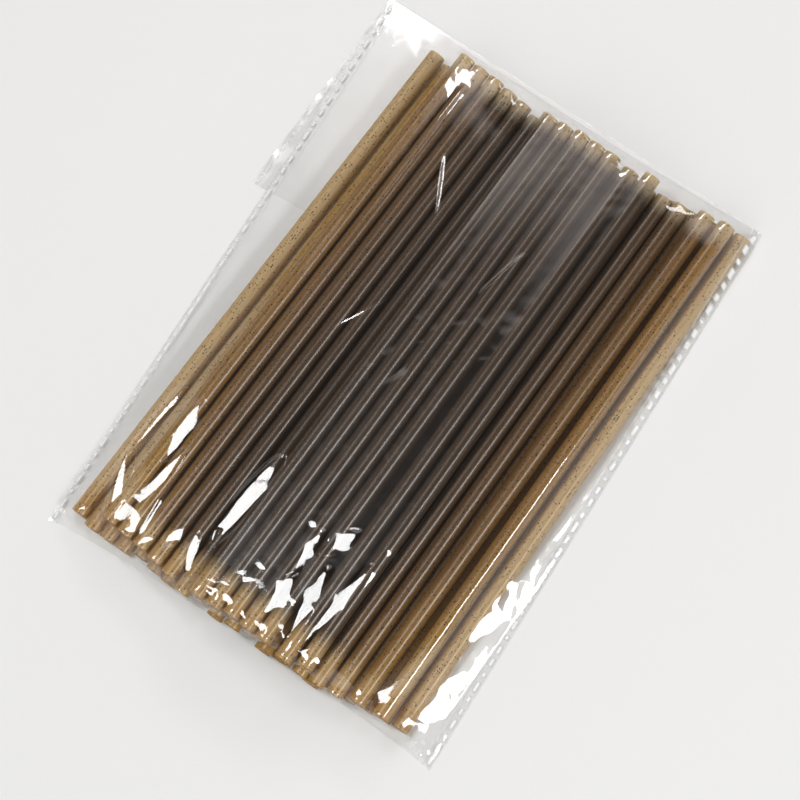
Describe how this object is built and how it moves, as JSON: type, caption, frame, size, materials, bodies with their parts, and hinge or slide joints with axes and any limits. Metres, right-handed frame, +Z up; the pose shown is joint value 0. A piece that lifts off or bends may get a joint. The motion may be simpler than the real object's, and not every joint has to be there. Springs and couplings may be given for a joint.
{
  "type": "pack of drinking straws",
  "caption": "Flat pack of straight, translucent brown drinking straws with dark specks, wrapped in a folded, side-welded bag of clear film.",
  "frame": {"origin": "centre of the pack's box, on the surface that it lies on", "axes": "+Y along the straws towards the bag's folded mouth, +X across the straws, +Z up"},
  "size_m": [0.1706, 0.217, 0.0187],
  "materials": {
    "straw": "translucent amber-brown bioplastic with dark specks, satin",
    "film": "clear, glossy, crinkled film"
  },
  "bodies": {
    "root": {"straw_bottom_01": "straw", "straw_bottom_02": "straw", "straw_bottom_03": "straw", "straw_bottom_04": "straw", "straw_bottom_05": "straw", "straw_bottom_06": "straw", "straw_bottom_07": "straw", "straw_bottom_08": "straw", "straw_bottom_09": "straw", "straw_bottom_10": "straw", "straw_bottom_11": "straw", "straw_bottom_12": "straw", "straw_bottom_13": "straw", "straw_bottom_14": "straw", "straw_bottom_15": "straw", "straw_bottom_16": "straw", "straw_bottom_17": "straw", "straw_bottom_18": "straw", "straw_bottom_19": "straw", "straw_bottom_20": "straw", "straw_bottom_21": "straw", "straw_middle_01": "straw", "straw_middle_02": "straw", "straw_middle_03": "straw", "straw_middle_04": "straw", "straw_middle_05": "straw", "straw_middle_06": "straw", "straw_middle_07": "straw", "straw_middle_08": "straw", "straw_middle_09": "straw", "straw_middle_10": "straw", "straw_middle_11": "straw", "straw_middle_12": "straw", "straw_middle_13": "straw", "straw_middle_14": "straw", "straw_middle_15": "straw", "straw_middle_16": "straw", "straw_middle_17": "straw", "straw_top_01": "straw", "straw_top_02": "straw", "straw_top_03": "straw", "straw_top_04": "straw", "straw_top_05": "straw", "straw_top_06": "straw", "straw_top_07": "straw", "film_bag": "film"}
  },
  "joints": []
}
